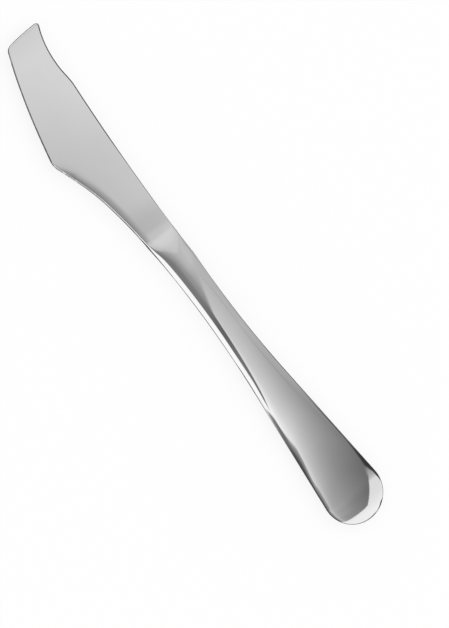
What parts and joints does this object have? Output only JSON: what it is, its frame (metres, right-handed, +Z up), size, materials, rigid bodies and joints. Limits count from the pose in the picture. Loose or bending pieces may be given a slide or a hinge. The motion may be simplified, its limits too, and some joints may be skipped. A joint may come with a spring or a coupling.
{
  "type": "shellfish knife",
  "caption": "Polished stainless table knife for fish and shellfish, with a notched flat blade and a flared hollow handle.",
  "frame": {"origin": "middle of the knife's box, on the surface that it lies on", "axes": "+X along the knife towards the blade tip, +Y towards the cutting edge, +Z up out of the broad side that the picture shows"},
  "size_m": [0.2, 0.026, 0.0073],
  "materials": {
    "blade_steel": "mirror-polished stainless steel with fine polishing lines",
    "handle_steel": "mirror-polished stainless steel",
    "solder": "silver solder, polished flush",
    "cement": "matt filling cement"
  },
  "bodies": {
    "root": {"blade": "blade_steel", "handle_front_shell": "handle_steel", "handle_back_shell": "handle_steel", "seam_solder": "solder", "mouth_solder": "solder", "handle_core": "cement"}
  },
  "joints": []
}
